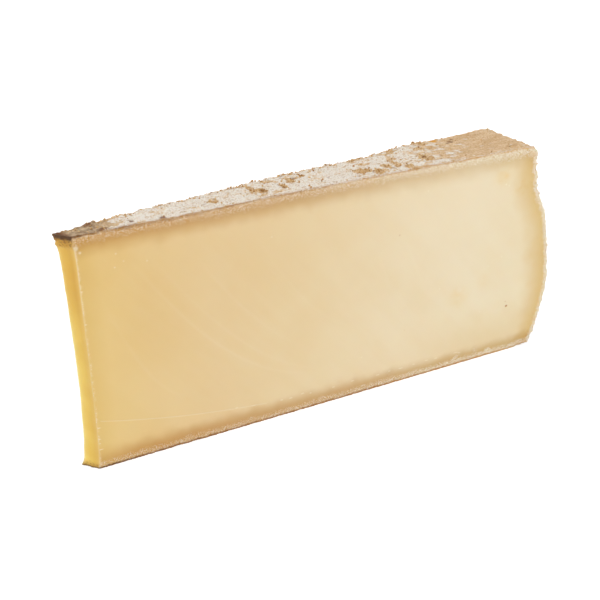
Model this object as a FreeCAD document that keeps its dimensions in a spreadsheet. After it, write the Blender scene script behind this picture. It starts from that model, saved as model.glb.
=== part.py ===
import FreeCAD, Part
import math
import os
import Sketcher

# A thin wedge of a large, hard mountain cheese, standing on its lower rind. The wedge is what two
# upright cuts through the wheel's axis leave, with its point cut off. It is one solid: the paste
# with the rind on its top, its foot and its heel. Millimetres, +Z up.
#
# The sections are drawn in upright planes through the wheel's axis, so in each of them the first
# coordinate is the distance from that axis and the second one is the height.

NODE = "cheese_wedge"

# name, value, meaning
SIZES = [
    ("wheel_height", 116.3, "height of the top just inside the heel's rounded edge"),
    ("wheel_radius", 312.9, "from the wheel's axis to the widest part of the heel"),
    ("wedge_angle", 7.05, "degrees between the two cut faces"),
    ("bulge_height", 40.0, "height of the heel's widest part"),
    ("shoulder_inset", 17.4, "how far the heel's upper edge lies inside its widest part"),
    ("shoulder_run", 8.0, "how far in from the heel its rounded upper edge reaches"),
    ("shoulder_drop", 3.2, "how far down the heel its rounded upper edge reaches"),
    ("dent_drop", 24.6, "from the top down to the middle of the hoop's dent in the heel"),
    ("dent_reach", 6.5, "from the middle of the dent to where it runs out, up or down"),
    ("dent_depth", 4.0, "depth of the dent"),
    ("foot_inset", 7.8, "how far the heel's lower edge lies inside its widest part"),
    ("foot_rise", 0.9, "how far the heel's lower edge stands off the ground"),
    ("foot_run", 20.0, "how far in from the heel the underside meets the ground"),
    ("foot_trim", 3.0, "what the resting face takes off the underside"),
    ("tip_radius", 57.0, "from the wheel's axis to the cut tip, midway between the cut faces"),
    ("tip_slant", 5.6, "how much nearer the axis the tip's far edge is than its near edge"),
    ("tip_sag", 1.5, "how much lower the top is at the tip than at the heel"),
    ("hollow_near", 0.9, "how far the tip's paste has sunk in at its near edge"),
    ("hollow_far", 2.7, "how far the tip's paste has sunk in at its far edge"),
    ("upper_lip", 8.0, "height of the upper rind's lip over the sunken tip"),
    ("lower_lip", 7.0, "height of the lower rind's lip under the sunken tip"),
    ("crown", 0.3, "swelling of the top along the far cut face"),
    ("rind_wave", 1.2, "height of the slow waves in the rind"),
]

# Where the sections stand between the near cut face, 0, and the far one, 1.
STATIONS = [0.0, 0.25, 0.5, 0.75, 1.0]

# Where the poles of the top's curve lie on the way from the heel, 1, to the tip, 0.
TOP_PLACES = [0.94, 0.86, 0.78, 0.70, 0.62, 0.54, 0.46, 0.38, 0.30, 0.22, 0.13, 0.05]

# How straight the heel falls back from its widest part, upwards and downwards.
UPPER_FALL = 1.2
LOWER_FALL = 2.0


def top_swell(along, across):
    """Slow unevenness of the top, from -1 to 1, which grows towards the heel and the far face."""
    wave = math.cos(19.6 * (along - 0.78) + 1.8 * (1.0 - across))
    return wave * along * (0.25 + 0.75 * across) * math.sin(math.pi * along) ** 0.5


def heel_swell(height_share, across):
    """Slow unevenness of the heel, from -1 to 1."""
    return 0.5 * math.sin(5.3 * height_share + 4.4 * across - 1.2) * math.sin(math.pi * height_share)


def sag_share(along, across):
    """How the top sinks towards the tip: slowly near the near face, and late near the far one."""
    return (1.0 - along) ** (2.0 + 8.0 * across)


def crown_share(along):
    """A swelling that is nearly level, and runs out at the heel and at the tip."""
    return 1.0 - abs(2.0 * along - 1.0) ** 3.5


def blend(near, far, across):
    """An expression that goes from one size at the near cut face to another at the far one."""
    return f"({near} + ({far} - {near}) * {across:.4f})"


def make_sheet(doc):
    """The sheet of driving sizes, each with an alias."""
    sheet = doc.addObject("Spreadsheet::Sheet", "Sizes")
    for row, (name, value, meaning) in enumerate(SIZES, start=1):
        sheet.set(f"A{row}", name)
        sheet.set(f"B{row}", str(value))
        sheet.set(f"C{row}", meaning)
        sheet.setAlias(f"B{row}", name)
    doc.recompute()
    return sheet


def tip_edge(across):
    """Radius of the tip's edge, which is nearer the axis at the far cut face."""
    return f"(Sizes.tip_radius + Sizes.tip_slant * {0.5 - across:.4f})"


def heel_poles(across):
    """Poles of the heel's curve, from its lower edge up to the rounded shoulder."""
    rise = "(Sizes.bulge_height - Sizes.foot_rise)"
    climb = "(Sizes.wheel_height - Sizes.bulge_height)"
    dent = "(Sizes.wheel_height - Sizes.dent_drop)"
    dent_foot = f"({dent} - Sizes.dent_reach)"
    poles = []
    for share in (0.0, 0.22, 0.58, 1.0):
        wave = heel_swell(0.35 * share, across)
        radius = (f"Sizes.wheel_radius - Sizes.foot_inset * {(1.0 - share) ** LOWER_FALL:.4f}"
                  f" + Sizes.rind_wave * {wave:.4f}")
        poles.append((radius, f"(Sizes.foot_rise + {rise} * {share:.2f})"))
    # height, and how much of the dent's depth is missing there
    places = [(f"(Sizes.bulge_height + ({dent_foot} - Sizes.bulge_height) * {share:.2f})", 0.0)
              for share in (0.30, 0.55, 0.80)]
    places += [(dent_foot, 0.25),
               (dent, 1.0),
               (f"({dent} + Sizes.dent_reach)", 0.5),
               (f"({dent} + Sizes.dent_drop * 0.6)", 0.6),
               ("(Sizes.wheel_height - Sizes.shoulder_drop)", 0.2)]
    for step, (height, dent_share) in enumerate(places, start=1):
        wave = heel_swell(0.35 + 0.65 * step / len(places), across)
        fall = f"pow(({height} - Sizes.bulge_height) / {climb}; {UPPER_FALL})"
        radius = (f"Sizes.wheel_radius - Sizes.shoulder_inset * {fall}"
                  f" - Sizes.dent_depth * {dent_share:.2f} + Sizes.rind_wave * {wave:.4f}")
        poles.append((radius, height))
    return poles


def shoulder_poles(heel_end, top_start):
    """Poles of the rounded edge between the heel and the top."""
    return [heel_end, ("Sizes.wheel_radius - Sizes.shoulder_inset", "Sizes.wheel_height"), top_start]


def top_poles(across):
    """Poles of the top's curve, from the rounded shoulder to the tip."""
    start = "(Sizes.wheel_radius - Sizes.shoulder_inset - Sizes.shoulder_run)"
    poles = [(start, "Sizes.wheel_height")]
    for along in TOP_PLACES:
        radius = blend(tip_edge(across), start, along)
        height = (f"Sizes.wheel_height - Sizes.tip_sag * {sag_share(along, across):.4f}"
                  f" + Sizes.crown * {across * crown_share(along):.4f}"
                  f" + Sizes.rind_wave * {top_swell(along, across):.4f}")
        poles.append((radius, height))
    poles.append((tip_edge(across), "Sizes.wheel_height - Sizes.tip_sag"))
    return poles


def tip_poles(across):
    """Poles of the tip's curve, down from the upper lip, along the sunken paste to the lower lip."""
    hollow = blend("Sizes.hollow_near", "Sizes.hollow_far", across)
    summit = "(Sizes.wheel_height - Sizes.tip_sag)"
    paste = f"({summit} - Sizes.upper_lip - Sizes.lower_lip)"
    places = [(summit, 0.0),
              (f"({summit} - Sizes.upper_lip * 0.4)", 0.15),
              (f"({summit} - Sizes.upper_lip)", 0.80),
              (f"(Sizes.lower_lip + {paste} * 0.72)", 0.86),
              (f"(Sizes.lower_lip + {paste} * 0.45)", 1.12),
              (f"(Sizes.lower_lip + {paste} * 0.20)", 0.98),
              ("Sizes.lower_lip", 0.55),
              ("-Sizes.foot_trim", -0.10)]
    return [(f"({tip_edge(across)} + {hollow} * {share:.2f})", height) for height, share in places]


def foot_poles(tip_end, heel_start):
    """Poles of the underside's curve, from the tip to the heel's lower edge."""
    edge = "(Sizes.wheel_radius - Sizes.foot_inset)"
    return [tip_end,
            (f"({edge} - Sizes.foot_run * 2)", "-Sizes.foot_trim"),
            (f"({edge} - Sizes.foot_run)", "-Sizes.foot_rise * 0.3"),
            (f"({edge} - Sizes.foot_run * 0.3)", "Sizes.foot_rise * 0.6"),
            heel_start]


def place_point(sketch, geometry, point, radius, height):
    """Tie one point of a geometry to the sheet, by its distances from the sketch's origin."""
    for kind, text in (("DistanceX", radius), ("DistanceY", height)):
        number = sketch.addConstraint(Sketcher.Constraint(kind, -1, 1, geometry, point, 1.0))
        sketch.setExpression(f"Constraints[{number}]", text)


def add_spline(sketch, poles, degree=3):
    """Add a spline whose poles are tied to the sheet."""
    guess = [FreeCAD.Vector(step, step % 2, 0.0) for step in range(len(poles))]
    curve = Part.BSplineCurve(guess, None, None, False, degree, None, False)
    spline = sketch.addGeometry(curve, False)
    first = None
    for step, (radius, height) in enumerate(poles):
        spot = sketch.addGeometry(Part.Circle(guess[step], FreeCAD.Vector(0, 0, 1), 1.0), True)
        if first is None:
            first = spot
            sketch.addConstraint(Sketcher.Constraint("Weight", first, 1.0))
        else:
            sketch.addConstraint(Sketcher.Constraint("Equal", first, spot))
        sketch.addConstraint(Sketcher.Constraint(
            "InternalAlignment:Sketcher::BSplineControlPoint", spot, 3, spline, step))
        place_point(sketch, spot, 3, radius, height)


def attach(sketch, body, role):
    """Attach a sketch to one of its own body's origin planes."""
    plane = next(plane for plane in body.Origin.OriginFeatures if plane.Role == role)
    sketch.AttachmentSupport = [(plane, "")]
    sketch.MapMode = "FlatFace"


def make_section(sheet, body, number, across):
    """One closed section, in the upright plane that stands at this share of the wedge's angle."""
    sketch = body.newObject("Sketcher::SketchObject", f"Section{number}")
    attach(sketch, body, "XZ_Plane")
    turn = FreeCAD.Rotation(FreeCAD.Vector(0, 1, 0), sheet.wedge_angle * across)
    sketch.AttachmentOffset = FreeCAD.Placement(FreeCAD.Vector(), turn)
    if across > 0.0:
        sketch.setExpression("AttachmentOffset.Rotation.Angle", f"Sizes.wedge_angle * {across:.4f}")
    heel = heel_poles(across)
    top = top_poles(across)
    tip = tip_poles(across)
    add_spline(sketch, heel)
    add_spline(sketch, shoulder_poles(heel[-1], top[0]), degree=2)
    add_spline(sketch, top)
    add_spline(sketch, tip)
    add_spline(sketch, foot_poles(tip[-1], heel[0]))
    return sketch


def make_ground(body):
    """A disc on the ground, wider than the wheel, for what the resting face takes off."""
    sketch = body.newObject("Sketcher::SketchObject", "Ground")
    attach(sketch, body, "XY_Plane")
    circle = sketch.addGeometry(
        Part.Circle(FreeCAD.Vector(), FreeCAD.Vector(0, 0, 1), 1.0), False)
    sketch.addConstraint(Sketcher.Constraint("Coincident", circle, 3, -1, 1))
    number = sketch.addConstraint(Sketcher.Constraint("Radius", circle, 1.0))
    sketch.setExpression(f"Constraints[{number}]", "Sizes.wheel_radius * 1.2")
    return sketch


def make_wedge(doc, sheet):
    """The wedge, first in the wheel's own place: axis at the origin, near cut face along X."""
    body = doc.addObject("PartDesign::Body", "Wedge")
    sections = [make_section(sheet, body, number, across)
                for number, across in enumerate(STATIONS, start=1)]
    doc.recompute()
    loft = body.newObject("PartDesign::AdditiveLoft", "PasteAndRind")
    loft.Profile = sections[0]
    loft.Sections = sections[1:]
    doc.recompute()

    trim = body.newObject("PartDesign::Pocket", "RestingFace")
    trim.Profile = make_ground(body)
    trim.Type = "Length"
    trim.setExpression("Length", "Sizes.foot_trim * 2")
    trim.Reversed = False
    doc.recompute()
    before = loft.Shape.Volume
    taken = before - trim.Shape.Volume
    print(f"the resting face takes {taken:.0f} cubic mm of {before:.0f}")
    if taken < 0.001 * before or taken > 0.1 * before:
        raise RuntimeError("the resting face cuts nothing, or the wrong side")
    body.Label = NODE
    return body


def place_wedge(doc, sheet, body):
    """Turn the wedge's middle line onto X, and stand the middle of its box's foot on the origin."""
    turn = FreeCAD.Rotation(FreeCAD.Vector(0, 0, 1), -sheet.wedge_angle / 2.0)
    body.Placement = FreeCAD.Placement(FreeCAD.Vector(), turn)
    doc.recompute()
    box = body.Shape.optimalBoundingBox(False, False)
    shift = FreeCAD.Vector(-(box.XMin + box.XMax) / 2.0, -(box.YMin + box.YMax) / 2.0, 0.0)
    body.Placement.Base = shift
    doc.recompute()
    print(f"the wheel's axis stands at x {shift.x:.3f}, y {shift.y:.3f}")


def check(doc, body):
    for thing in doc.Objects:
        if "Invalid" in thing.State or "Error" in thing.State:
            raise RuntimeError(f"{thing.Name} failed: {thing.State}")
    shape = body.Shape
    if shape.isNull() or not shape.isValid() or len(shape.Solids) != 1:
        raise RuntimeError("the wedge is not one valid solid")
    box = shape.optimalBoundingBox(False, False)
    print(f"{NODE}: {box.XLength:.2f} x {box.YLength:.2f} x {box.ZLength:.2f} mm, "
          f"{shape.Volume / 1000.0:.1f} cubic cm, {len(shape.Faces)} faces")


def main():
    doc = FreeCAD.newDocument("CheeseWedge")
    sheet = make_sheet(doc)
    body = make_wedge(doc, sheet)
    place_wedge(doc, sheet, body)
    check(doc, body)
    os.makedirs("parts", exist_ok=True)
    body.Shape.exportStep(f"parts/{NODE}.step")


main()
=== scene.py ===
import math

import bpy
import numpy as np
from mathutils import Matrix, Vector, noise
from mathutils.geometry import delaunay_2d_cdt
from mathutils.kdtree import KDTree


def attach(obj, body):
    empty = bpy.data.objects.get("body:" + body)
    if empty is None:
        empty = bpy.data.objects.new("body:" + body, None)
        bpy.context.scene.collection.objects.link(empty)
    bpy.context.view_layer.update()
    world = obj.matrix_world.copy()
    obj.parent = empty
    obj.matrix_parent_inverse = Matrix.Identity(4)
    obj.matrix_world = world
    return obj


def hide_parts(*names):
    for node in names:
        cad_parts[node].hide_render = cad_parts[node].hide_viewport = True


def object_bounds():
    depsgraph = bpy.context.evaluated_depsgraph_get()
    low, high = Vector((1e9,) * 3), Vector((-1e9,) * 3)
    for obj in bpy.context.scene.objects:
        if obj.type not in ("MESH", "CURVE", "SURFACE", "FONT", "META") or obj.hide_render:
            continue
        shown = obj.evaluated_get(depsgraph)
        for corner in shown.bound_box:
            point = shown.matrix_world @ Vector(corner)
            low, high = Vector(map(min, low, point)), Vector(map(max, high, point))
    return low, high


# A thin wedge of hard mountain cheese, standing on its lower rind. The skin is laid over the solid:
# rows of points go round the wedge in upright planes through the wheel's axis, and the two cut faces
# are filled between them. Shapes are worked out in millimetres and stored in metres.
#
# Places are given as on the wedge itself: "along" runs from the tip's near edge towards the heel,
# "deep" from the near cut face towards the far one, and "height" up from the ground.

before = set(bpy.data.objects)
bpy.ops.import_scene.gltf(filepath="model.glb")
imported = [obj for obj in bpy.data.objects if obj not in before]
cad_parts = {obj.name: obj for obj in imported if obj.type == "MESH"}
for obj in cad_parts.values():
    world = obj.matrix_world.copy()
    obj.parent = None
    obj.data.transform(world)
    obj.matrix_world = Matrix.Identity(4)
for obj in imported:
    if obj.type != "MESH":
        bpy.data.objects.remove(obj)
cad_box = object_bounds()

NODE = "cheese_wedge"
MM = 0.001
WEDGE_ANGLE = math.radians(7.05)
FOOT, HEEL, TOP, TIP, NEAR, FAR = range(6)

# What the look "along" counts as its whole length, and a height about halfway up, in millimetres.
FACE_LENGTH = 250.0
MIDDLE_HEIGHT = 60.0

# How many upright planes the solid's outline is read in, and how far inside the cut faces, as a share
# of the wedge's angle, the first and the last one stand.
SECTIONS = 13
INSIDE = 0.002

# Spacing of the rows round the wedge, and of the points in a row, in millimetres.
ROW_STEP = {FOOT: 0.60, HEEL: 0.60, TOP: 0.50, TIP: 0.55}
POINT_STEP = {FOOT: 1.40, HEEL: 0.60, TOP: 0.50, TIP: 0.55}

# Spacing of the cut faces' points, from one distance off the edge to the next.
FACE_BANDS = [(0.62, 0.35, 5.0), (1.3, 5.0, 11.0), (2.6, 11.0, 200.0)]


# ---------------------------------------------------------------- the solid's outline

def cad_surface():
    """The solid's points in millimetres, each one once, and its triangles."""
    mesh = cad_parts[NODE].data
    mesh.calc_loop_triangles()
    places = np.array([vertex.co for vertex in mesh.vertices]) / MM
    corners = np.array([triangle.vertices for triangle in mesh.loop_triangles])
    points, same = np.unique(places.round(4), axis=0, return_inverse=True)
    return points, same.reshape(-1)[corners]


def wheel_axis(points):
    """The upright line in which the two cut faces would meet."""
    slope = math.tan(WEDGE_ANGLE / 2)
    near = points[points[:, 1].argmin()]
    far = points[points[:, 1].argmax()]
    x = (near[0] + far[0] - (far[1] - near[1]) / slope) / 2
    y = (near[1] + far[1] - (far[0] - near[0]) * slope) / 2
    return np.array([x, y, 0.0])


def section(points, triangles, axis, turn):
    """The solid's outline in one upright plane, as rows of radius and height, from the tip's foot."""
    angle = turn - WEDGE_ANGLE / 2
    out = np.array([math.cos(angle), math.sin(angle), 0.0])
    side = (points - axis) @ np.array([-out[1], out[0], 0.0])
    flat = np.stack([(points - axis) @ out, points[:, 2]], axis=1)
    above = side > 0
    spots = {}
    links = {}
    for triangle in triangles[above[triangles].any(axis=1) & ~above[triangles].all(axis=1)]:
        ends = []
        for first, last in ((0, 1), (1, 2), (2, 0)):
            low, high = sorted((int(triangle[first]), int(triangle[last])))
            if above[low] != above[high]:
                share = side[low] / (side[low] - side[high])
                spots[low, high] = flat[low] + share * (flat[high] - flat[low])
                ends.append((low, high))
        links.setdefault(ends[0], []).append(ends[1])
        links.setdefault(ends[1], []).append(ends[0])
    start = min(spots, key=lambda edge: spots[edge].sum())
    way = max(links[start], key=lambda edge: spots[edge][0])
    loop = [start]
    while way != start:
        before = loop[-1]
        loop.append(way)
        way = next(edge for edge in links[way] if edge != before)
    return np.array([spots[edge] for edge in loop])


def even_points(line, count):
    """Points at even distances on a line, without its last point."""
    steps = np.linalg.norm(np.diff(line, axis=0), axis=1)
    reach = np.concatenate([[0.0], np.cumsum(steps)])
    wanted = np.linspace(0.0, reach[-1], count + 1)[:-1]
    return np.stack([np.interp(wanted, reach, line[:, axis]) for axis in (0, 1)], axis=1)


def rows_of_sections(sections):
    """The same rows of points in every section, so that row meets row across the wedge."""
    split = []
    for outline in sections:
        radius, height = outline.T
        corners = [0, int((radius - height).argmax()), int((radius + 3 * height).argmax()),
                   int((height - radius).argmax())]
        closed = np.vstack([outline, outline[:1]])
        ends = corners[1:] + [len(outline)]
        split.append([closed[first:last + 1] for first, last in zip(corners, ends)])
    sides = []
    rows = []
    for side in (FOOT, HEEL, TOP, TIP):
        middle = split[len(split) // 2][side]
        length = np.linalg.norm(np.diff(middle, axis=0), axis=1).sum()
        count = round(length / ROW_STEP[side])
        rows.append(np.stack([even_points(parts[side], count) for parts in split], axis=1))
        sides += [side] * count
    return np.concatenate(rows), np.array(sides)


# ---------------------------------------------------------------- unevenness

def grain(places, size, seed, octaves=1):
    """Smooth seeded unevenness, about -1 to 1, with swellings of the given size."""
    shift = Vector((seed * 17.3, seed * -9.1, seed * 5.7))
    return np.array([noise.fractal(Vector(place) / size + shift, 1.0, 2.0, octaves)
                     for place in places])


def rise(values, low, high):
    """0 below low, 1 above high, and smooth between them."""
    share = np.clip((values - low) / (high - low), 0.0, 1.0)
    return share * share * (3.0 - 2.0 * share)


def spot(first, second, centre, reach):
    """1 in the middle of a soft-edged spot, and 0 outside it."""
    distance = np.hypot((first - centre[0]) / reach[0], (second - centre[1]) / reach[1])
    return 1.0 - rise(distance, 0.55, 1.25)


# ---------------------------------------------------------------- the belt: foot, heel, top and tip

class Belt:
    """The points of the rows round the wedge, before and after the rind's relief."""

    def __init__(self):
        points, triangles = cad_surface()
        self.axis = wheel_axis(points)
        turns = np.linspace(0.0, WEDGE_ANGLE, SECTIONS)
        inner = np.clip(turns, WEDGE_ANGLE * INSIDE, WEDGE_ANGLE * (1 - INSIDE))
        rows, sides = rows_of_sections([section(points, triangles, self.axis, turn)
                                        for turn in inner])
        self.tip_corner = float(rows[sides == TIP][0, 0, 0])
        tangent = np.roll(rows, -2, axis=0) - np.roll(rows, 2, axis=0)
        normal = np.stack([tangent[..., 1], -tangent[..., 0]], axis=-1)
        normal /= np.linalg.norm(normal, axis=-1, keepdims=True)
        self.starts = [0]
        shares, owners = [], []
        for number, side in enumerate(sides):
            width = rows[number, SECTIONS // 2, 0] * WEDGE_ANGLE
            count = max(3, round(width / POINT_STEP[int(side)])) + 1
            shares.append(np.linspace(0.0, 1.0, count))
            owners.append(np.full(count, number))
            self.starts.append(self.starts[-1] + count)
        self.share = np.concatenate(shares)
        self.row = np.concatenate(owners)
        self.side = sides[self.row]
        self.flat = self.between(rows)
        self.normal = self.between(normal)

    def between(self, grid):
        """Values at every point, from those in the sections."""
        place = self.share * (SECTIONS - 1)
        low = np.minimum(place.astype(int), SECTIONS - 2)
        part = (place - low)[:, None]
        return grid[self.row, low] * (1 - part) + grid[self.row, low + 1] * part

    def spread(self):
        """Distance along the near face, distance from it, and height."""
        turn = self.share * WEDGE_ANGLE
        radius = self.flat[:, 0]
        return radius * np.cos(turn) - self.tip_corner, radius * np.sin(turn), self.flat[:, 1]

    def solid(self, flat, share):
        """Points in the part's own frame, in millimetres, from radius, height and share of the turn."""
        angle = share * WEDGE_ANGLE - WEDGE_ANGLE / 2
        return np.stack([self.axis[0] + flat[:, 0] * np.cos(angle),
                         self.axis[1] + flat[:, 0] * np.sin(angle), flat[:, 1]], axis=1)

    def triangles(self):
        """Triangles between each row and the next, which may have another number of points."""
        found = []
        count = len(self.starts) - 1
        for number in range(count):
            first, last = self.starts[number], self.starts[number + 1]
            other = self.starts[(number + 1) % count]
            end = self.starts[(number + 1) % count + 1]
            here, there = first, other
            while here < last - 1 or there < end - 1:
                step_here = self.share[here + 1] if here < last - 1 else math.inf
                step_there = self.share[there + 1] if there < end - 1 else math.inf
                if step_here <= step_there:
                    found.append((here, here + 1, there))
                    here += 1
                else:
                    found.append((here, there + 1, there))
                    there += 1
        return np.array(found)


# Patches of bare, crumbly rind on the top: along, deep, half length, half width.
TOP_PATCHES = [
    (63.5, 6.5, 2.2, 2.2), (59.3, 15.5, 2.0, 1.6), (76.0, 18.6, 2.4, 1.8), (83.0, 12.0, 1.6, 8.0),
    (86.5, 7.0, 4.0, 2.5), (91.8, 15.5, 2.2, 2.0), (98.0, 6.5, 1.8, 4.0), (103.5, 13.0, 2.0, 3.5),
    (109.0, 14.5, 3.4, 1.1), (142.5, 24.0, 2.6, 1.5), (139.0, 9.0, 5.0, 3.0), (146.0, 5.0, 3.0, 3.4),
    (158.0, 8.0, 2.2, 5.0), (163.0, 4.0, 2.6, 4.0), (152.0, 9.0, 3.0, 2.6), (165.0, 26.5, 2.6, 4.2),
    (175.5, 11.0, 3.0, 4.5), (184.0, 30.0, 3.0, 3.0), (179.0, 22.0, 2.4, 2.0),
]
# Dark pits and clumps on the top: along, deep, radius, depth (a clump stands up, so it is below 0).
# The dark painted on them is the rind's own brown, and in the pits also painted shade of their hollows.
TOP_PITS = [
    (8.2, 8.0, 2.2, -0.7), (13.5, 0.6, 2.4, -0.4), (38.5, 0.8, 1.5, -0.3), (76.0, 19.0, 1.4, -0.6),
    (87.2, 7.4, 0.9, 0.6), (97.7, 6.2, 0.9, 0.6), (151.8, 8.0, 1.0, 0.7), (164.8, 28.6, 1.6, 0.5),
    (175.6, 11.8, 1.1, 0.7), (201.0, 26.3, 1.7, 0.9), (203.5, 29.0, 1.0, 0.6), (198.0, 24.4, 1.0, 0.5),
    (25.5, 3.0, 1.1, 0.3), (106.0, 14.6, 1.0, 0.4),
]
# Pale crumbly bumps near the heel's end of the top: along, deep, radius, height.
TOP_BUMPS = [(223.5, 7.4, 1.5, 0.7), (226.5, 5.0, 1.7, 0.8), (229.8, 7.0, 1.4, 0.6),
             (231.5, 3.6, 1.3, 0.5), (220.0, 4.4, 1.1, 0.4), (225.0, 10.0, 1.0, 0.4)]


def rind_looks(belt, looks, places):
    """Where the rind is bare and crumbly, bloomed with white mould, or dark; returns its relief.

    The top is white between its brown tip and the heel's smooth, bare end. Bare crumbly patches lie on
    it, and crumbs along its far edge ("back"). "stray" is where small brown flecks lie.
    """
    along, deep, _ = places.T
    streaks = places * (0.45, 1.0, 1.0)
    broad = grain(places, 9.0, 1, 3)
    lumps = grain(streaks, 2.4, 2, 4)
    fine = grain(places, 1.1, 3, 2)
    crumbs = grain(places, 3.2, 6, 3)
    top, heel, foot = ((belt.side == side).astype(float) for side in (TOP, HEEL, FOOT))
    smooth_end = top * rise(along, 176, 204)
    cover_top = rise(along, 8, 26) * (1 - 0.15 * rise(along, 60, 100))
    cover_top *= 1 - 0.9 * rise(along, 168, 212)
    cover = top * (1.25 * cover_top - 0.45) - heel * 0.10 - foot * 0.15
    patch = np.zeros(len(along))
    for x, y, length, width in TOP_PATCHES:
        ragged = np.maximum(0.95 + 1.2 * lumps + 0.4 * fine, 0.2)
        patch = np.maximum(patch, top * spot(along, deep, (x, y), (length * ragged, width * ragged)))
    back = top * (1 - rise(looks["to_far"], 0.6, 2.6))
    patch = np.maximum(patch, 0.9 * back * rise(lumps, -0.15, 0.25) * (1 - smooth_end))
    dark = np.zeros(len(along))
    pits = np.zeros(len(along))
    # A pit's dark paint is partly painted shade in its hollow, partly the rind's own brown.
    for x, y, reach, depth in TOP_PITS:
        here = top * spot(along, deep, (x, y), (reach, reach))
        dark = np.maximum(dark, here)
        pits -= here * depth
    bumps = np.zeros(len(along))
    for x, y, reach, rise_up in TOP_BUMPS:
        bumps += top * rise_up * spot(along, deep, (x, y), (reach, reach))
    bloom = rise(0.45 * broad + 0.75 * lumps + cover - 1.1 * patch, -0.10, 0.45)
    rim = top * rise(along, 165, 185) * (1 - rise(deep + 0.5 * fine, 0.8, 2.2))
    bloom = np.maximum(bloom, 0.75 * rim)
    bare = 1 - bloom
    stray = rise(lumps + 0.4 * fine - 0.35 * smooth_end, 0.72, 1.0) * (1 - 0.6 * foot)
    relief = 0.30 * broad + 0.10 * lumps + 0.06 * fine
    relief += (0.36 * patch + 0.22 * bare * (1 - smooth_end)) * (crumbs + 0.6 * fine + 0.2)
    relief += heel * (0.55 * crumbs + 0.38 * fine) + foot * (-0.1 - 0.15 * broad)
    relief += back * 0.45 * (crumbs + 0.4 * fine) * (1 - 0.5 * smooth_end)
    relief += 0.8 * pits + bumps - 0.22 * stray
    looks["bloom"] = bloom
    looks["brown"] = 0.82 * patch + 0.5 * bare * rise(lumps, -0.1, 0.4) * (1 - smooth_end)
    looks["brown"] = np.minimum(looks["brown"], 1.0)
    looks["dark"] = np.maximum(0.8 * dark, 0.45 * stray)
    return relief


# ---------------------------------------------------------------- the cut faces

# Marks on the near face. Pale ones are chips: along, height, radius, strength. Dark ones are small
# holes, and stains have a reach, both in the same order.
PALE_CHIPS = [(17, 104, 0.35, 0.32), (20, 100, 0.45, 0.32), (16, 98, 0.35, 0.32), (30, 98, 0.30, 0.32),
              (88, 97, 0.35, 0.32), (1.0, 109.6, 1.1, 0.50), (2.4, 107.4, 0.7, 0.40),
              (182, 49, 0.40, 0.6), (137, 21, 0.40, 0.6), (209, 29, 0.30, 0.6), (220, 59, 0.35, 0.6),
              (218, 99, 0.55, 0.8), (220, 98, 0.45, 0.8), (212, 55, 0.25, 0.6), (171, 104, 0.30, 0.6)]
DARK_HOLES = [(227, 28, 0.80, 1.0), (226, 31, 0.40, 0.8), (156, 84, 0.35, 0.45), (162, 30, 0.25, 0.3)]
STAINS = [(194, 41, 4.5, 0.34), (209, 47, 3.0, 0.28), (217, 105, 1.2, 1.3), (216, 104, 4.0, 0.50),
          (228, 96, 3.5, 0.40)]
# Marks that the knife left: places along a curve, and the strength of the mark.
KNIFE_MARKS = [([(22, 101), (48, 63), (106, 21)], 0.8), ([(31, 101), (58, 63), (118, 20)], 0.5),
               ([(52, 95), (70, 69), (100, 39)], 0.6), ([(144, 77), (152, 57)], 0.5),
               ([(158, 85), (173, 50)], 0.6), ([(8, 88), (22, 52), (46, 26)], 0.4),
               ([(80, 100), (101, 66), (132, 40)], 0.4)]
# A fine crack near the foot: places along it, and the dashes that follow it, as (along, height, half
# length).
CRACK = [(3, 25.2), (28, 18.8), (54, 13.8), (84, 9.8)]
CRACK_DASHES = [(68, 12.0, 0.8), (77, 10.6, 1.3), (92, 9.2, 0.6), (97, 8.8, 0.9), (103, 9.4, 0.4),
                (108, 8.4, 0.5), (121, 8.0, 0.7), (132, 8.4, 0.9), (147, 7.6, 1.0), (154, 7.9, 0.6),
                (161, 7.6, 1.2), (169, 7.8, 0.7), (177, 7.9, 1.0), (183, 7.6, 0.8), (196, 7.4, 1.4),
                (198, 6.8, 0.7)]
# Small pale nicks by the tip's edge, in the same order.
EDGE_TICKS = [(0.6, 95.0, 0.6), (0.8, 90.0, 1.0), (0.8, 74.5, 1.1), (0.5, 55.0, 0.5), (1.0, 22.0, 1.4),
              (1.0, 16.0, 0.9), (0.8, 13.8, 0.8), (1.0, 10.4, 1.5)]
# The far face has the same marks turned end for end: where its "along" is counted back from, and how
# much higher they lie there.
TURNED_FROM = 236.0
TURNED_RISE = 1.7
# How far apart the two cut faces lie in the unevenness that both read, so that they differ.
FACES_APART = 200.0
# How far a cut face's points stay from each other round the marks, from the marks' points elsewhere,
# and from the face's edge.
MARK_GAP = 0.28
FIELD_GAP = 0.4
EDGE_GAP = 0.3


def curve_points(stops, step):
    """Points along a smooth curve through a few stops."""
    stops = np.array(stops, float)
    length = np.linalg.norm(np.diff(stops, axis=0), axis=1).sum()
    along = np.linspace(stops[0, 0], stops[-1, 0], max(2, round(length / step)))
    bend = np.polyfit(stops[:, 0], stops[:, 1], len(stops) - 1)
    return np.stack([along, np.polyval(bend, along)], axis=1)


def nearest(tree_points, places):
    """For each place the distance to the nearest of some points, and that point's number."""
    tree = KDTree(len(tree_points))
    for number, point in enumerate(tree_points):
        tree.insert((point[0], point[1], 0.0), number)
    tree.balance()
    found = [tree.find((place[0], place[1], 0.0)) for place in places]
    return np.array([hit[2] for hit in found]), np.array([hit[1] for hit in found])


def hex_grid(low, high, step):
    """A field of evenly spaced points."""
    columns = np.arange(low[0], high[0], step)
    rows = np.arange(low[1], high[1], step * math.sqrt(0.75))
    first, second = np.meshgrid(columns, rows)
    first = first + np.where(np.arange(len(rows)) % 2 == 1, step / 2, 0.0)[:, None]
    return np.stack([first.ravel(), second.ravel()], axis=1)


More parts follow.
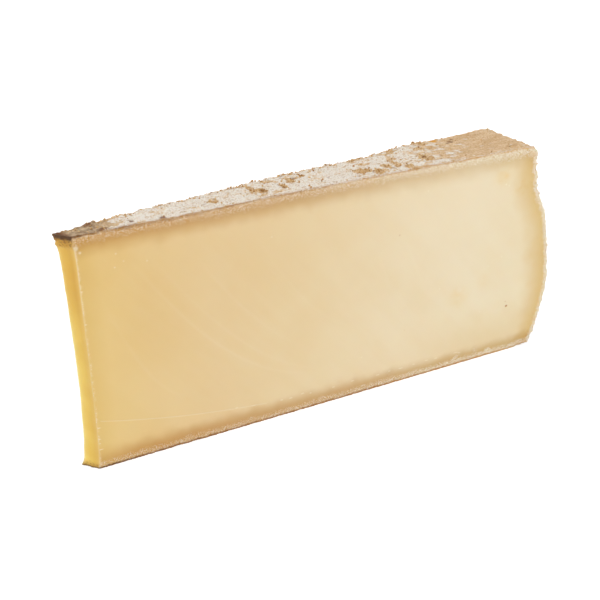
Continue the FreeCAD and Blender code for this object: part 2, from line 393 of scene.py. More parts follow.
def face_points(outline, normal, marks):
    """Points inside a cut face: close together at its edge and round its marks."""
    chosen = []
    for step, closest, farthest in FACE_BANDS:
        field = hex_grid(outline.min(axis=0), outline.max(axis=0), step)
        distance, number = nearest(outline, field)
        inside = ((field - outline[number]) * normal[number]).sum(axis=1) < 0
        chosen.append(field[inside & (distance >= closest) & (distance < farthest)])
    chosen = np.concatenate(chosen)
    chosen = np.concatenate([chosen[nearest(marks, chosen)[0] > FIELD_GAP], marks])
    distance, number = nearest(outline, chosen)
    inside = ((chosen - outline[number]) * normal[number]).sum(axis=1) < -EDGE_GAP / 2
    return chosen[inside & (distance > EDGE_GAP)]


def fill(outline, inner):
    """Triangles between an outline and the points inside it, numbered in that order."""
    places = [Vector(place) for place in np.concatenate([outline, inner])]
    ring = list(range(len(outline)))
    _, _, faces, origins, _, insides = delaunay_2d_cdt(places, [], [ring], 1, 1e-6, True)
    if max(len(origin) for origin in origins) > 1:
        raise RuntimeError("two points of a cut face lie in one place")
    return np.array([[origins[corner][0] for corner in face]
                     for face, inside in zip(faces, insides) if inside])


def side_distances(outline, sides, places):
    """How far places on a cut face lie from the foot, from the heel and from the top."""
    return {side: nearest(outline[sides == side], places)[0] for side in (FOOT, HEEL, TOP)}


def margin_looks(looks, away, along, places):
    """The cut rind's margin: brown paste under the rind, pale grains in it, and a dark line."""
    wander = 1 + 0.14 * grain(places, 7.0, 11, 2)
    speck = grain(places, 1.3, 12, 2)
    foot, heel, top = (away[side] * wander for side in (FOOT, HEEL, TOP))
    right = rise(along, 110, 200)
    brown_foot = (0.62 + 0.38 * rise(along, 2, 16)) * (1 - rise(foot, 3.2, 12.0 - 2.0 * right))
    brown_top = (0.93 - 0.34 * rise(along, 80, 200)) * (1 - rise(top, 2.6, 11.5 + 2.0 * right))
    looks["tan"] = np.maximum(brown_foot, brown_top)
    looks["warm"] = np.max([0.95 * (1 - rise(heel, 0.5, 21.0)),
                            0.16 * rise(foot, 15.0, 95.0),
                            0.45 * rise(along, 180, 220) * (1 - rise(top, 3.0, 15.0)),
                            0.36 * rise(along, 150, 225) * (1 - rise(foot, 8.0, 40.0))], axis=0)
    clusters = 1.8 * rise(grain(places, 9.0, 14, 2), 0.30, 0.80)
    pale_foot = 0.90 * rise(foot, 0.3, 1.0) * (1 - rise(foot, 0.9 + clusters, 5.6 + 2.5 * clusters))
    pale_top = 0.9 * (1 - rise(top, 0.3, 6.4 + 2.0 * rise(along, 195, 225)))
    pale_heel = 0.70 * (1 - rise(heel, 0.8, 4.0))
    looks["chalk"] = np.clip(np.max([pale_foot, pale_top, pale_heel], axis=0) + 0.12 * speck, 0, 1)
    looks["chalk"] *= 1 - rise(np.min([foot, heel, top], axis=0), 7.0, 9.0)
    looks["bloom"] = 1 - rise(heel + 1.0 * speck, 0.5, 2.2)
    width = 1 + 0.5 * speck + 0.35 * grain(places, 5.0, 17)
    line_foot = (1 - 0.6 * rise(along, 215, 240)) * (1 - rise(foot / width, 0.60, 1.45))
    broken = 0.75 + 0.45 * grain(places * (0.3, 1.0, 1.0), 4.0, 15, 2)
    low = rise(along, 6, 16) * (1 - rise(along, 45, 75))
    line_top = (1 - 0.40 * low) * np.clip(broken, 0.3, 1.0)
    line_top *= 1 - rise(top / width, 0.20 + 0.5 * low, 0.80 + 1.0 * low)
    looks["line"] = np.maximum(line_foot, line_top)


def margin_relief(away, places):
    """How far the cut rind's margin stands off the cut's plane."""
    speck = grain(places, 1.1, 13, 3)
    rind = np.min(list(away.values()), axis=0)
    rough = 0.20 * (1 - rise(rind, 2.2, 5.0)) + 0.22 * (1 - rise(away[HEEL], 2.0, 6.0))
    sunk = 0.14 * rise(rind, 1.5, 3.5) * (1 - rise(rind, 4.0, 9.0)) * rise(away[HEEL], 3.0, 14.0)
    return rough * speck - 0.15 * np.exp(-rind / 0.4) - sunk


# The looks that the materials read. Other ones are kept only while the wedge is built.
LOOKS = ("along", "across", "cream", "bloom", "brown", "dark", "tan", "warm", "chalk", "line",
         "pale_mark", "dark_mark", "stain", "knife")


def new_looks(along, across):
    """Looks at 0, but for the places along and across the wedge."""
    looks = {name: np.zeros(len(along)) for name in LOOKS}
    looks["along"] = along / FACE_LENGTH
    looks["across"] = np.broadcast_to(across, len(along))
    return looks


def lift(looks, name, values):
    """Raise a look to the given values where it is lower."""
    looks[name] = np.maximum(looks[name], values)


class Marks:
    """The marks of one cut face: the far one is turned round, and has its own heights."""

    def __init__(self, near):
        self.near = near

    def at(self, x, z):
        """A mark's place on this face."""
        return (x, z) if self.near else (TURNED_FROM - x, z + TURNED_RISE)

    def stops(self, places):
        return [self.at(x, z) for x, z in places]

    def looks(self, looks, along, height):
        """Chips, holes, stains, knife marks and the crack; returns their relief."""
        relief = np.zeros(len(along))
        places = np.stack([along, height], axis=1)
        for x, z, reach, amount in PALE_CHIPS:
            here = spot(along, height, self.at(x, z), (reach, reach))
            lift(looks, "pale_mark", amount * here)
            relief += 0.10 * here
        for x, z, reach, amount in DARK_HOLES:
            here = spot(along, height, self.at(x, z), (reach, reach * 0.7))
            lift(looks, "dark_mark", amount * here)
            relief -= 0.35 * amount * here
        patchy = grain(np.stack([along, height, 0 * along], axis=1), 2.6, 19, 2)
        patchy = np.clip(0.8 + 1.1 * patchy, 0, 1.6)
        for x, z, reach, amount in STAINS:
            centre = self.at(x, z)
            distance = np.hypot(along - centre[0], height - centre[1]) / reach
            looks["stain"] += amount * np.exp(-distance ** 2) * patchy
        for stops, amount in KNIFE_MARKS:
            line = curve_points(self.stops(stops), 0.8)
            distance, number = nearest(line, places)
            fade = np.sin(np.pi * (number + 0.5) / len(line)) ** 0.7
            lift(looks, "knife", amount * fade * np.exp(-(distance / 0.9) ** 2))
        distance = nearest(curve_points(self.stops(CRACK), 0.5), places)[0]
        here = np.exp(-(distance / 0.20) ** 2)
        lift(looks, "pale_mark", 0.26 * here)
        relief -= 0.12 * here
        for x, z, reach in CRACK_DASHES + EDGE_TICKS:
            here = spot(along, height, self.at(x, z), (reach, 0.26))
            lift(looks, "pale_mark", 0.65 * here)
        return relief

    def points(self):
        """Extra points round the marks, so that they are sharp."""
        points = []
        for x, z, reach, _ in PALE_CHIPS + DARK_HOLES:
            centre = np.array(self.at(x, z))
            points.append(centre)
            for ring in (0.6, 1.1, 1.8):
                for step in range(7):
                    angle = math.tau * (step + ring) / 7
                    points.append(centre + reach * ring * np.array([math.cos(angle), math.sin(angle)]))
        for x, z, reach in CRACK_DASHES + EDGE_TICKS:
            points += [np.array(self.at(x, z)) + (reach * step / 3, offset)
                       for step in range(-4, 5) for offset in (-0.35, 0.0, 0.35)]
        bands = [(CRACK, 0.5, (-0.9, -0.4, 0.0, 0.4, 0.9))]
        bands += [(stops, 1.3, (-1.2, 0.0, 1.2)) for stops, _ in KNIFE_MARKS]
        for stops, step, offsets in bands:
            line = curve_points(self.stops(stops), step)
            way = np.gradient(line, axis=0)
            way /= np.linalg.norm(way, axis=1, keepdims=True)
            over = np.stack([-way[:, 1], way[:, 0]], axis=1)
            points += [point for offset in offsets for point in line + over * offset]
        return thin_out(points, MARK_GAP)


def thin_out(points, closest):
    """The points without those that lie too near to another."""
    points = np.array(sorted(map(tuple, points)))
    kept = []
    cells = {}
    for point in points:
        column, row = int(point[0] // closest), int(point[1] // closest)
        around = [other for i in (-1, 0, 1) for j in (-1, 0, 1)
                  for other in cells.get((column + i, row + j), [])]
        if all(math.dist(other, point) >= closest for other in around):
            cells.setdefault((column, row), []).append(point)
            kept.append(point)
    return np.array(kept)


def tip_looks(belt, looks, places):
    """The sunken tip: knobbly under the upper lip, brown at the lower one; returns its relief."""
    tip = belt.side == TIP
    lumps = grain(places, 2.0, 21, 3)
    height = belt.flat[:, 1]
    from_rind = np.minimum(height, height[tip].max() - height)
    above = height > MIDDLE_HEIGHT
    upper = np.where(tip & above, 1 - rise(from_rind + 0.8 * lumps, 3.8, 6.4), 0.0)
    lower = np.where(tip & ~above, 1 - rise(from_rind, 0.8, 3.6), 0.0)
    flare = np.where(tip & ~above, np.exp(-from_rind / 1.4), 0.0)
    looks["cream"] = np.where(tip, rise(height, 55, 100), 0.0)
    looks["tan"] = upper * (0.75 + 0.35 * lumps) + 0.7 * lower
    looks["line"] = upper * (1 - rise(from_rind, 0.8, 2.2 + 1.2 * lumps))
    looks["line"] += lower * (1 - rise(from_rind, 0.5, 1.3))
    relief = 0.06 * lumps + 0.75 * upper * (lumps + 0.5) + 0.15 * lower * lumps
    relief += 0.16 * grain(places, 9.0, 22, 2) + flare * (0.7 + 0.7 * belt.share + 0.5 * lumps)
    return np.where(tip, relief, 0.0)


def make_skin():
    """The whole skin in three parts: the belt with the rind and the tip, and the two cut faces.

    A part has its points, its triangles, which may name the points of parts before it, the side that
    each triangle is on, its points spread out by along, deep and height, and its looks.
    """
    belt = Belt()
    along, deep, height = belt.spread()
    places = np.stack([along, deep, height], axis=1)
    tip = belt.side == TIP
    top = belt.side == TOP
    looks = new_looks(along, belt.share)
    looks["to_far"] = (1 - belt.share) * WEDGE_ANGLE * belt.flat[:, 0]
    relief = rind_looks(belt, looks, places)
    relief = np.where(tip, tip_looks(belt, looks, places), relief)
    lift(looks, "dark", top * (1 - rise(along + 0.4 * deep, -2.0, 2.5)))
    bold = 1 - rise(along, 18, 34)
    inward = rise(along, 70, 95)
    broken = np.clip(0.75 + 0.6 * grain(places * (0.3, 1.0, 1.0), 3.0, 16, 2), 0.1, 1)
    crease = np.exp(-((deep - 0.2 - 0.5 * inward) / (0.40 + 0.45 * bold + 0.3 * inward)) ** 2)
    crease *= (0.75 + 0.25 * bold) * broken * (1 - 0.8 * rise(along, 168, 195))
    looks["line"] = np.where(top, crease, looks["line"])
    looks["stain"] = top * spot(along, deep, (193.0, 30.0), (2.2, 1.8))
    flat = belt.flat + belt.normal * relief[:, None]
    flat[:, 1] = np.maximum(flat[:, 1], 0.0)

    solid = belt.solid(flat, belt.share)
    for share in (0.0, 1.0):
        edge = np.flatnonzero(belt.share == share)
        away = side_distances(flat[edge], belt.side[edge], flat[edge])
        margin = new_looks(along[edge], share)
        margin_looks(margin, away, along[edge], places[edge])
        for name in ("tan", "warm", "chalk"):
            looks[name][edge] = np.where(tip[edge], looks[name][edge], margin[name])
        for name, mine in (("bloom", belt.side[edge] == HEEL), ("line", ~tip[edge])):
            looks[name][edge] = np.maximum(looks[name][edge], np.where(mine, margin[name], 0.0))
        solid[edge] += face_way(share) * margin_relief(away, places[edge])[:, None]
    triangles = belt.triangles()
    looks["side"] = belt.side
    looks["from_near"] = deep
    spread = np.stack([along, deep, flat[:, 1]], axis=1)
    skin = [(solid, triangles, belt.side[triangles[:, 0]], spread, looks)]
    for share, side in ((0.0, NEAR), (1.0, FAR)):
        skin.append(face_part(belt, flat, share, side, sum(len(part[0]) for part in skin)))
    return skin


def face_way(share):
    """The direction out of the cut face at one end of the turn or the other."""
    angle = share * WEDGE_ANGLE - WEDGE_ANGLE / 2
    out = np.array([-math.sin(angle), math.cos(angle), 0.0])
    return out if share > 0.5 else -out


def face_part(belt, flat, share, side, count):
    """One cut face between the rows' ends, with its margin and its marks, after count points."""
    edge = np.flatnonzero(belt.share == share)
    outline = flat[edge]
    marks = Marks(side == NEAR)
    corner = np.array([belt.tip_corner, 0.0])
    inner = face_points(outline, belt.normal[edge], marks.points() + corner)
    triangles = fill(outline, inner)
    along = inner[:, 0] - belt.tip_corner
    height = inner[:, 1]
    places = np.stack([along, np.full(len(along), FACES_APART * share), height], axis=1)
    looks = new_looks(along, share)
    away = side_distances(outline, belt.side[edge], inner)
    from_rind = np.min(list(away.values()), axis=0)
    margin_looks(looks, away, along, places)
    looks["cream"] = np.exp(-((along - marks.at(195, 0)[0]) / 48) ** 2 - ((height - 92) / 30) ** 2)
    relief = marks.looks(looks, along, height) + margin_relief(away, places)
    relief += 0.10 * grain(places, 32.0, 31, 2) * rise(from_rind, 2.0, 12.0)
    fall, nicks = tip_edge(outline[belt.side[edge] == TIP], inner, places)
    relief -= fall
    lift(looks, "pale_mark", nicks)
    solid = belt.solid(inner, share) + face_way(share) * relief[:, None]
    triangles = np.concatenate([edge, np.arange(len(inner)) + count])[triangles]
    if side == FAR:
        triangles = triangles[:, ::-1]
    spread = np.stack([along * math.cos(share * WEDGE_ANGLE), 0 * along, height], axis=1)
    return solid, triangles, np.full(len(triangles), side), spread, looks


def tip_edge(edge, inner, places):
    """The slight fall of a cut face towards the tip's edge, and the pale line along that edge."""
    distance = nearest(edge, inner)[0]
    worn = rise(grain(places, 2.2, 41, 3), -0.4, 0.5)
    return 0.12 * np.exp(-distance / 0.6), 0.70 * worn * np.exp(-(distance / 0.6) ** 2)


# The size of the flat sheet that the looks may be baked on, and where each side lies on it: which two
# of along, deep and height lay it out, and where they start. In millimetres.
SHEET = 322.0
SHEET_PLACES = {NEAR: ((0, 2), (8, 1)), FAR: ((0, 2), (10, 120)), TOP: ((0, 1), (8, 240)),
                FOOT: ((0, 1), (8, 281)), HEEL: ((1, 2), (270, 1)), TIP: ((1, 2), (270, 120))}
# The number of each side's material, from the foot to the far face.
MATERIAL_OF = np.array([2, 2, 2, 1, 0, 0], np.int32)


def put(name, data):
    """An object in the scene."""
    thing = bpy.data.objects.new(name, data)
    bpy.context.scene.collection.objects.link(thing)
    return thing


def make_piece(name, points, triangles, looks, sheet, materials):
    """A piece from points in millimetres, with its looks and its corners' places on the flat sheet."""
    mesh = bpy.data.meshes.new(name)
    mesh.from_pydata((points * MM).tolist(), [], triangles.tolist())
    mesh.validate()
    for look, values in looks.items():
        values = values.astype(np.float32)
        mesh.attributes.new(look, "FLOAT", "POINT").data.foreach_set("value", values)
    mesh.uv_layers.new(name="OFBake").data.foreach_set("uv", sheet.astype(np.float32).reshape(-1))
    for material in materials:
        mesh.materials.append(material)
    mesh.update()
    return put(name, mesh)


def build_wedge(skin, materials):
    """The wedge, with a material for each side, smooth but for the edges between the sides."""
    places, triangles, sides, spreads, looks = zip(*skin)
    triangles = np.concatenate(triangles)
    sides = np.concatenate(sides)
    looks = {name: np.concatenate([part[name] for part in looks]) for name in LOOKS}
    spread = np.concatenate(spreads)[triangles.reshape(-1)]
    owners = np.repeat(sides, 3)
    sheet = np.zeros((len(owners), 2))
    for side, (axes, start) in SHEET_PLACES.items():
        mine = owners == side
        sheet[mine] = (spread[mine][:, axes] + start) / SHEET
    piece = make_piece("cheese", np.concatenate(places), triangles, looks, sheet, materials)
    mesh = piece.data
    mesh.polygons.foreach_set("material_index", MATERIAL_OF[sides])
    mesh.polygons.foreach_set("use_smooth", np.ones(len(triangles), bool))
    edges = np.zeros(len(owners), np.int32)
    mesh.loops.foreach_get("edge_index", edges)
    lowest = np.full(len(mesh.edges), FAR)
    highest = np.full(len(mesh.edges), FOOT)
    np.minimum.at(lowest, edges, owners)
    np.maximum.at(highest, edges, owners)
    mesh.attributes.new("sharp_edge", "BOOLEAN", "EDGE").data.foreach_set("value", lowest != highest)
    mesh.update()
    return piece


# ---------------------------------------------------------------- loose crumbs of rind

# For each side that has crumbs: how many, the smallest one's radius, how much larger the largest one
# is, and how rare the large ones are.
CRUMBS = {TOP: (1700, 0.16, 0.46, 3.0), FOOT: (420, 0.14, 0.26, 2.0), HEEL: (700, 0.18, 0.30, 2.0)}
# A ball of twenty triangles: its corners lie on three crossed rectangles of this half width and half
# length, and this far from its middle.
BALL_SIDES = (1.0, 1.618)
BALL_REACH = 1.902
BALL_CORNERS = 12
BALL_FACES = np.array([(0, 1, 10), (0, 8, 1), (0, 4, 8), (0, 5, 4), (0, 10, 5), (1, 7, 10), (1, 6, 7),
                       (1, 8, 6), (10, 7, 11), (10, 11, 5), (5, 11, 2), (5, 2, 4), (4, 2, 9),
                       (4, 9, 8), (8, 9, 6), (6, 9, 3), (6, 3, 7), (7, 3, 11), (11, 3, 2), (9, 2, 3)])


def ball_corners():
    """The ball's twelve corners, for a radius of 1."""
    short, far = BALL_SIDES
    pairs = [(a, b) for b in (-far, far) for a in (-short, short)]
    corners = [(0.0, a, b) for a, b in pairs]
    corners += [(a, b, 0.0) for a, b in pairs]
    corners += [(b, 0.0, a) for a, b in pairs]
    return np.array(corners) / BALL_REACH


def crumb_places(places, looks, chance):
    """Where the crumbs cling, their sizes, and how white each one is."""
    along = looks["along"] * FACE_LENGTH
    near = np.exp(-looks["from_near"] / 0.8)
    far = np.exp(-looks["to_far"] / 1.2)
    clumps = rise(grain(places, 6.0, 18, 2), -0.1, 0.6) ** 2 + 0.15
    edges = (looks["from_near"] < 0.5) + 1.0 * (looks["to_far"] < 0.5)
    odds = {TOP: (0.10 + looks["brown"] + (3.0 * far + 2.0 * near) * clumps) * rise(along, -2, 6),
            FOOT: clumps * edges,
            HEEL: 0.06 + near + far}
    odds[TOP] *= 1 - 0.8 * rise(along, 185, 200)
    chosen = []
    for side, (count, _, _, _) in CRUMBS.items():
        share = odds[side] * (looks["side"] == side)
        chosen.append(chance.choice(len(along), count, replace=False, p=share / share.sum()))
    size = np.concatenate([least + more * chance.random(count) ** rare
                           for count, least, more, rare in CRUMBS.values()])
    chosen = np.concatenate(chosen)
    side = looks["side"][chosen]
    size *= 1 - 0.35 * ((side == TOP) & (looks["from_near"][chosen] < 1.5))
    white = looks["bloom"][chosen] * (side == TOP) * (chance.random(len(chosen)) < 0.6)
    white[side == HEEL] = 0.8 * chance.random(CRUMBS[HEEL][0])
    centre = places[chosen] + np.array([0.0, 0.0, 0.25]) * size[:, None]
    centre[:, 2] = np.maximum(centre[:, 2], 1.25 * size)
    return centre, size, white


def build_crumbs(skin, material):
    """Small crumbs of rind that cling to the top, the foot and the heel, most of them at the edges."""
    chance = np.random.default_rng(8)
    places, _, _, _, looks = skin[0]
    centre, size, white = crumb_places(places, looks, chance)
    count = len(size)
    turn = np.linalg.qr(chance.normal(size=(count, 3, 3)))[0]
    ball = ball_corners() * (0.75 + 0.5 * chance.random((count, BALL_CORNERS, 1)))
    ball = np.einsum("nij,nkj->nki", turn, ball * (1.0, 1.0, 0.7)) * size[:, None, None]
    points = (centre[:, None] + ball).reshape(-1, 3)
    faces = (BALL_FACES + BALL_CORNERS * np.arange(count)[:, None, None]).reshape(-1, 3)
    looks = {"pale": np.repeat(white, BALL_CORNERS),
             "tone": np.repeat(chance.random(count), BALL_CORNERS)}
    columns = math.ceil(math.sqrt(len(faces)))
    cell = np.arange(len(faces))
    corner = np.array([(0.1, 0.1), (0.9, 0.1), (0.1, 0.9)])
    sheet = (np.stack([cell % columns, cell // columns], axis=1)[:, None] + corner[None]) / columns
    return make_piece("rind_crumbs", points, faces, looks, sheet, [material])


# ---------------------------------------------------------------- materials

def shade(colour):
    """A colour given as it looks, from 0 to 255, as the light that it sends back; a socket stays."""
    if isinstance(colour, bpy.types.NodeSocket):
        return colour
    return tuple(((value / 255 + 0.055) / 1.055) ** 2.4 for value in colour) + (1.0,)


class Nodes:
    """A tree of shader nodes that is put together node by node."""

    def __init__(self, tree):
        self.tree = tree

    def feed(self, node, inputs):
        """Set a node's inputs or link them; a name stands for the look that is stored under it."""
        for name, value in inputs.items():
            if isinstance(value, str):
                value = self.add("ShaderNodeAttribute", out="Fac", attribute_name=value)
            if isinstance(value, bpy.types.NodeSocket):
                self.tree.links.new(value, node.inputs[name])
            else:
                node.inputs[name].default_value = value

    def add(self, kind, inputs=None, out=0, **settings):
        """A new node; returns one of its outputs."""
        node = self.tree.nodes.new(kind)
        for name, value in settings.items():
            setattr(node, name, value)
        self.feed(node, inputs or {})
        return node.outputs[out]

    def math(self, operation, first, second):
        return self.add("ShaderNodeMath", {0: first, 1: second}, operation=operation)

    def times(self, first, second):
        return self.math("MULTIPLY", first, second)

    def mix(self, first, second, share, mode="MIX"):
        return self.add("ShaderNodeMix", {0: share, 6: shade(first), 7: shade(second)}, out=2,
                        data_type="RGBA", blend_type=mode, clamp_factor=True)

    def grain(self, size, detail=2.0, rough=0.5, stretch=None, turn=(0.0, 0.0, 0.0)):
        """Noise with swellings of about the given size in metres."""
        where = self.add("ShaderNodeTexCoord", out="Object")
        if stretch:
            where = self.add("ShaderNodeMapping", {0: where, 2: turn}, vector_type="POINT")
            where = self.add("ShaderNodeMapping", {0: where, 3: stretch}, vector_type="POINT")
        return self.add("ShaderNodeTexNoise", {"Vector": where, "Scale": 1.0 / size,
                                               "Detail": detail, "Roughness": rough})

    def range(self, value, low, high, to_low=0.0, to_high=1.0):
        return self.add("ShaderNodeMapRange", {0: value, 1: low, 2: high, 3: to_low, 4: to_high},
                        interpolation_type="SMOOTHSTEP")

    def ramp(self, value, stops):
        node = self.tree.nodes.new("ShaderNodeValToRGB")
        self.feed(node, {0: value})
        while len(node.color_ramp.elements) < len(stops):
            node.color_ramp.elements.new(0.5)
        for element, (place, colour) in zip(node.color_ramp.elements, stops):
            element.position = place
            element.color = shade(colour)
        return node.outputs[0]

    def background(self):
        """1 for the rays that show the background: the camera's, and those of gloss and of glass."""
        found = 0.0
        for name in ("Is Camera Ray", "Is Glossy Ray", "Is Transmission Ray"):
            found = self.math("MAXIMUM", found, self.add("ShaderNodeLightPath", out=name))
        return found


class Paint(Nodes):
    """A material whose colour is laid on coat by coat."""

    def __init__(self, name):
        self.material = bpy.data.materials.new(name)
        self.material.use_nodes = True
        super().__init__(self.material.node_tree)
        self.shader = self.tree.nodes["Principled BSDF"]

    def lay(self, colour, share):
        self.colour = self.mix(self.colour, colour, share)

    def tint(self, colour, share):
        self.colour = self.mix(self.colour, colour, share, "MULTIPLY")

    def finish(self, rough, glow, *bumps):
        """Feed the shader; glow is the light that sinks in, a bump is height, strength and reach."""
        normal = None
        for height, strength, distance in bumps:
            inputs = {"Height": height, "Strength": strength, "Distance": distance}
            if normal:
                inputs["Normal"] = normal
            normal = self.add("ShaderNodeBump", inputs)
        self.feed(self.shader, {
            "Base Color": self.colour, "Roughness": rough, "Normal": normal, "Subsurface Weight": glow,
            "Subsurface Radius": (1.0, 0.55, 0.25), "Subsurface Scale": 0.004,
            "Specular IOR Level": 0.35})
        return self.material


# The cut faces' colour from the tip to the heel: the paste's own tone, and towards the thin tip a deeper
# yellow that is partly painted glow of light passing through it.
PASTE_AND_TIP_GLOW_ALONG = [
    (0.00, (222, 190, 117)), (0.04, (228, 199, 136)), (0.12, (227, 199, 144)),
    (0.24, (228, 203, 157)), (0.40, (230, 209, 168)), (0.60, (233, 216, 182)),
    (0.80, (235, 221, 190)), (1.00, (235, 221, 188)),
]


def margin_paint(paint):
    """The margin and the marks, laid over a cut face's colour."""
    tan = paint.ramp("along", [(0.0, (222, 196, 160)), (0.5, (221, 197, 166)), (0.9, (227, 210, 178))])
    paint.tint(tan, "tan")
    paint.tint((236, 215, 168), "warm")
    grains = paint.grain(0.00042, 1.5, 0.5)
    bonus = paint.range("along", 0.5, 0.85, 0.13, 0.17)
    grains = paint.math("ADD", grains, paint.times("chalk", bonus))
    pale = paint.ramp("along", [(0.0, (234, 221, 200)), (0.5, (238, 227, 208)), (0.9, (242, 233, 216))])
    amount = paint.times(paint.range(grains, 0.575, 0.68), paint.range("chalk", 0.0, 0.60))
    strength = paint.range("along", 0.3, 0.8, 0.62, 0.85)
    paint.lay(pale, paint.times(amount, strength))
    floury = paint.times("bloom", paint.range(grains, 0.42, 0.66, 0.05, 0.70))
    paint.lay((238, 228, 210), floury)
    dirt = paint.range(paint.grain(0.0008, 3.0, 0.6), 0.54, 0.66)
    paint.lay((172, 132, 88), paint.times(dirt, paint.times("chalk", 0.22)))
    edge = paint.ramp("along", [(0.0, (104, 64, 24)), (0.12, (136, 88, 34)),
                                (0.5, (160, 108, 46)), (0.9, (200, 150, 82))])
    paint.lay(edge, "line")
    paint.lay((246, 236, 212), "pale_mark")
    paint.lay((178, 116, 52), "dark_mark")
    paint.tint((250, 226, 158), "stain")


def paste_material():
    """The cut faces: cloudy paste that is paler towards the heel, its deeper yellow towards the tip
    partly painted glow of light through the thin tip, with its margin and its marks.
    """
    paint = Paint("paste")
    paint.colour = paint.ramp("along", PASTE_AND_TIP_GLOW_ALONG)
    paint.tint((254, 252, 249), paint.range(paint.grain(0.026), 0.35, 0.65))
    band = paint.grain(0.012, 3.0, 0.55, (1.0, 1.0, 0.14), (0.0, math.radians(42), 0.0))
    paint.tint((254, 253, 250), paint.range(band, 0.38, 0.64))
    paint.lay((250, 242, 222), paint.times("knife", 0.10))
    paint.lay((240, 229, 205), paint.times("cream", 0.45))
    margin_paint(paint)
    fine = paint.grain(0.0012, 3.0, 0.6)
    coarse = paint.times(paint.grain(0.0009, 3.0, 0.6), paint.range("chalk", 0.0, 0.5))
    rough = paint.range("chalk", 0.0, 0.6, 0.42, 0.75)
    return paint.finish(rough, 0.20, (fine, 0.06, 0.0004), (coarse, 0.50, 0.0006))


def tip_material():
    """The sunken tip: paste of a deeper yellow, with painted glow of light through the thin tip that
    turns it paler towards its far edge; brown and dark at its lips.
    """
    paint = Paint("tip_paste_and_glow")
    # Across the tip the colour is painted glow of light passing through the thin cheese, over the tip's
    # own deeper yellow: golden over most of it, pale at the far edge.
    paint.colour = paint.ramp("across", [
        (0.0, (226, 198, 138)), (0.08, (221, 184, 96)), (0.30, (222, 184, 84)),
        (0.60, (228, 194, 91)), (0.85, (233, 203, 106)), (1.0, (240, 221, 158))])
    paint.tint((244, 230, 208), paint.times("cream", paint.range("across", 0.0, 0.35)))
    paint.tint((251, 247, 238), paint.range(paint.grain(0.012), 0.35, 0.65))
    paint.lay((176, 126, 58), paint.times("tan", 0.8))
    specks = paint.range(paint.grain(0.0008, 2.0, 0.6), 0.54, 0.63)
    paint.lay((112, 78, 44), paint.times(specks, "tan"))
    paint.lay((84, 58, 36), "line")
    rough = paint.range("tan", 0.0, 1.0, 0.40, 0.8)
    return paint.finish(rough, 0.25, (paint.grain(0.0015, 3.0), 0.10, 0.0005))


def rind_material():
    """The rind: sandy and brown where it is bare, and white where the mould blooms on it."""
    paint = Paint("rind")
    sand = paint.grain(0.00075, 3.0, 0.65)
    grit = paint.grain(0.0018, 5.0, 0.72, (0.6, 1.0, 1.0))
    clump = paint.grain(0.0050, 6.0, 0.70, (0.45, 1.0, 1.0))
    bare = paint.mix((208, 171, 126), (226, 196, 156), paint.range(clump, 0.40, 0.60))
    bare = paint.mix(bare, (180, 128, 74), paint.range(sand, 0.50, 0.62, 0.0, 0.60))
    bare = paint.mix(bare, (232, 212, 184), paint.range(sand, 0.46, 0.34, 0.0, 0.60))
    old = paint.mix((112, 88, 62), (202, 178, 148), paint.range(grit, 0.38, 0.60))
    bare = paint.mix(bare, old, paint.range("along", 0.03, 0.10, 0.80, 0.0))
    ragged = paint.math("ADD", "bloom", paint.range(clump, 0.35, 0.65, 0.35, -0.65))
    ragged = paint.math("ADD", ragged, paint.range(grit, 0.35, 0.65, 0.30, -0.45))
    soft = paint.range("along", 0.62, 0.78, 0.45, 1.15)
    white = paint.times(paint.range(ragged, 0.05, soft), paint.range("bloom", 0.0, 0.3))
    bloomed = paint.mix((237, 229, 217), (200, 170, 134), paint.range(sand, 0.50, 0.66))
    paint.colour = paint.mix(bare, bloomed, white)
    crumb = paint.math("ADD", "brown", paint.range(grit, 0.3, 0.7, -0.9, 0.9))
    crumb = paint.math("ADD", crumb, paint.range(sand, 0.35, 0.65, 0.25, -0.25))
    crust = paint.mix((172, 126, 70), (228, 199, 154), paint.range(sand, 0.58, 0.42))
    paint.lay(crust, paint.range(crumb, 0.20, 1.15, 0.0, 0.9))
    paint.lay((116, 86, 58), paint.times(paint.range(grit, 0.60, 0.70), 0.55))
    # The dark look: the rind's own dark brown flecks and lip, and in the top's pits painted shade as
    # well.
    paint.lay((108, 58, 20), "dark")
    paint.lay((216, 152, 58), "stain")
    edge = paint.ramp("along", [(0.0, (98, 64, 26)), (0.12, (142, 90, 26)),
                              (0.5, (178, 118, 42)), (0.9, (204, 148, 72))])
    paint.lay(edge, paint.times("line", paint.range(sand, 0.30, 0.60, 1.0, 0.70)))
    rough = paint.range(sand, 0.3, 0.7, 0.80, 0.95)
    return paint.finish(rough, 0.05, (sand, 0.70, 0.0007), (grit, 0.70, 0.0012))


def crumb_material():
    """The loose crumbs, from brown to straw, and some of them white."""
    paint = Paint("crumb")
    paint.colour = paint.ramp("tone", [(0.0, (138, 96, 50)), (0.15, (174, 128, 70)),
                                       (1.0, (218, 184, 134))])
    paint.lay((230, 220, 206), "pale")
    rough = paint.range("tone", 0.0, 1.0, 0.80, 0.90)
    return paint.finish(rough, 0.05, (paint.grain(0.0004), 0.3, 0.0003))


# ---------------------------------------------------------------- floor, light and camera

# Half the floor's width, in metres. What it glows with for the background's rays, near the wedge and far
# from it, and from where to where that grows: the lamps' light does the rest, so that the shadow shows.
FLOOR_REACH = 4.0
FLOOR_GLOW = (0.45, 0.62)
FLOOR_GROWS = (0.3, 2.0)

# The strength of the world's white light, where 1 is white to the eye.
WORLD_LIGHT = 0.53
WHITE = (1.0, 1.0, 1.0, 1.0)

# Lamps: name, place seen from the wedge's middle, size, and power in watts.
LAMPS = [("key", (-0.9, -1.1, 1.5), 1.0, 18.8), ("fill", (1.2, -1.2, 0.9), 1.2, 7.5),
         ("side", (-1.5, 0.5, 0.5), 1.0, 3.0), ("back", (0.5, 1.5, 0.7), 1.2, 9.5)]


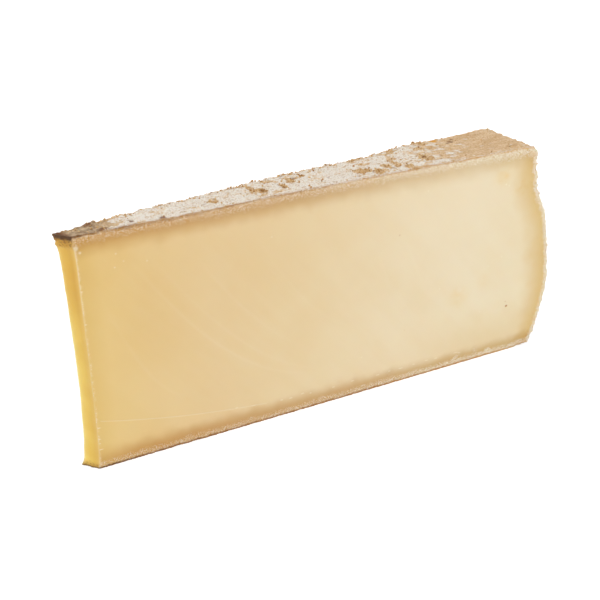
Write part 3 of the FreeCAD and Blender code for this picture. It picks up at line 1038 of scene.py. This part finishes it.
def add_floor():
    """A plain white floor, on which the wedge's shadow falls."""
    mesh = bpy.data.meshes.new("floor")
    corners = [(-1, -1), (1, -1), (1, 1), (-1, 1)]
    mesh.from_pydata([(x * FLOOR_REACH, y * FLOOR_REACH, 0) for x, y in corners], [], [(0, 1, 2, 3)])
    paint = Paint("floor")
    where = paint.add("ShaderNodeTexCoord", out="Object")
    away = paint.add("ShaderNodeVectorMath", {0: where}, out="Value", operation="LENGTH")
    glow = paint.times(paint.background(), paint.range(away, *FLOOR_GROWS, *FLOOR_GLOW))
    paint.feed(paint.shader, {"Base Color": (0.80, 0.80, 0.80, 1.0), "Roughness": 1.0,
                              "Specular IOR Level": 0.0, "Emission Color": WHITE,
                              "Emission Strength": glow})
    mesh.materials.append(paint.material)
    put("floor", mesh)


def add_world():
    """White for the background's rays, and a soft light on the wedge."""
    world = bpy.data.worlds.new("studio")
    bpy.context.scene.world = world
    world.use_nodes = True
    nodes = Nodes(world.node_tree)
    strength = nodes.range(nodes.background(), 0.0, 1.0, WORLD_LIGHT, 1.0)
    nodes.feed(nodes.tree.nodes["Background"], {"Color": WHITE, "Strength": strength})


def add_lamps(middle):
    """The lamps, all of them turned to the wedge's middle."""
    for name, place, size, power in LAMPS:
        lamp = bpy.data.lights.new(name, "AREA")
        lamp.size = size
        lamp.energy = power
        thing = put(name, lamp)
        thing.location = middle + Vector(place)
        thing.rotation_euler = (-Vector(place)).to_track_quat("-Z", "Y").to_euler()


def add_camera(middle):
    """The camera looks down at the near face, a little from the tip's side."""
    azimuth = math.radians(-30.945)
    elevation = math.radians(27.75)
    distance = 0.441
    aim = middle + Vector((-0.0218, -0.0099, 0.0034))
    back = Vector((math.sin(azimuth) * math.cos(elevation),
                   -math.cos(azimuth) * math.cos(elevation), math.sin(elevation)))
    camera = bpy.data.cameras.new("camera")
    camera.lens = 56.63
    camera.sensor_width = 36.0
    camera.clip_start = 0.01
    thing = put("camera", camera)
    thing.location = aim + back * distance
    thing.rotation_euler = (-back).to_track_quat("-Z", "Y").to_euler()
    bpy.context.scene.camera = thing


def main():
    low, high = cad_box
    middle = (low + high) / 2
    skin = make_skin()
    wedge = build_wedge(skin, [paste_material(), tip_material(), rind_material()])
    crumbs = build_crumbs(skin, crumb_material())
    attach(wedge, "root")
    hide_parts(NODE)
    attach(crumbs, "root")
    add_floor()
    add_world()
    add_lamps(middle)
    add_camera(middle)
    bpy.context.scene.view_settings.view_transform = "Standard"


main()
